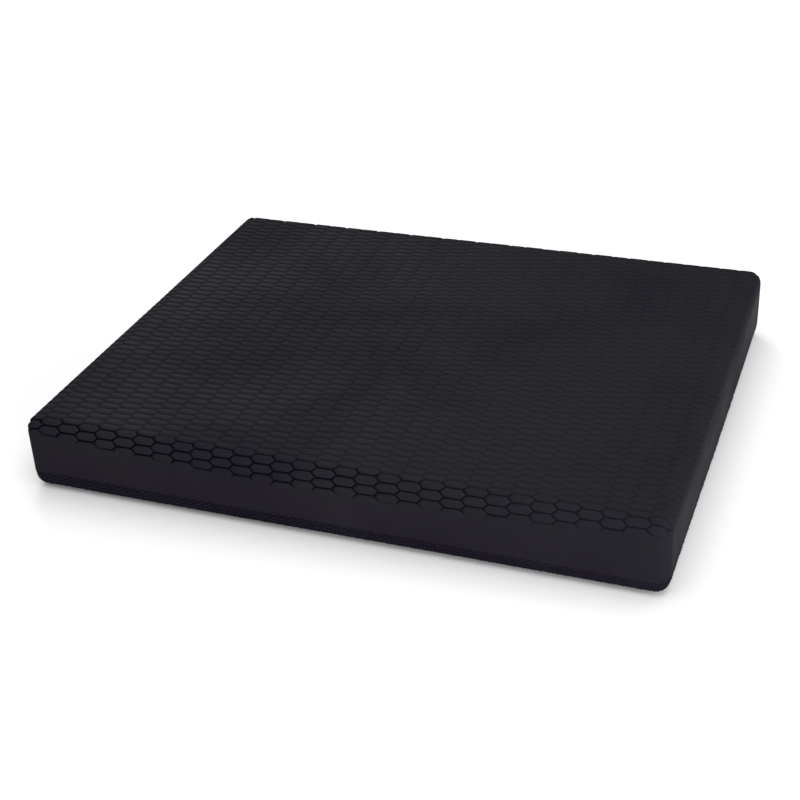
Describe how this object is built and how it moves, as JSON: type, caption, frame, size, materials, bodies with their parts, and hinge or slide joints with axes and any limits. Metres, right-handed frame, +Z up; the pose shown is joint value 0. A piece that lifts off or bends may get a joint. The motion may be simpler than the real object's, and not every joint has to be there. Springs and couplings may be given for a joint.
{
  "type": "balance pad",
  "caption": "Rectangular foam balance pad with rounded edges, an embossed top skin that wraps over the sides and a textured underside.",
  "frame": {"origin": "centre of the flat underside, where the pad rests on the floor", "axes": "+X along the long side, +Y along the short side, +Z up through the thickness"},
  "size_m": [0.5, 0.41, 0.06],
  "materials": {
    "embossed_skin": "matte",
    "smooth_skin": "matte",
    "anti_slip_skin": "matte",
    "foam": "matte"
  },
  "bodies": {
    "base": {"bottom_skin": "anti_slip_skin", "lower_foam_layer": "foam", "middle_foam_layer": "foam", "upper_foam_layer": "foam", "side_skin": "smooth_skin"},
    "top": {"top_skin": "embossed_skin"}
  },
  "joints": [
    {"name": "foam_compression", "type": "slide", "parent": "base", "child": "top", "axis": [0, 0, -1], "range_m": [0, 0.02], "stiffness_N_per_m": 35000, "deforming": ["lower_foam_layer", "middle_foam_layer", "upper_foam_layer", "side_skin"]}
  ]
}
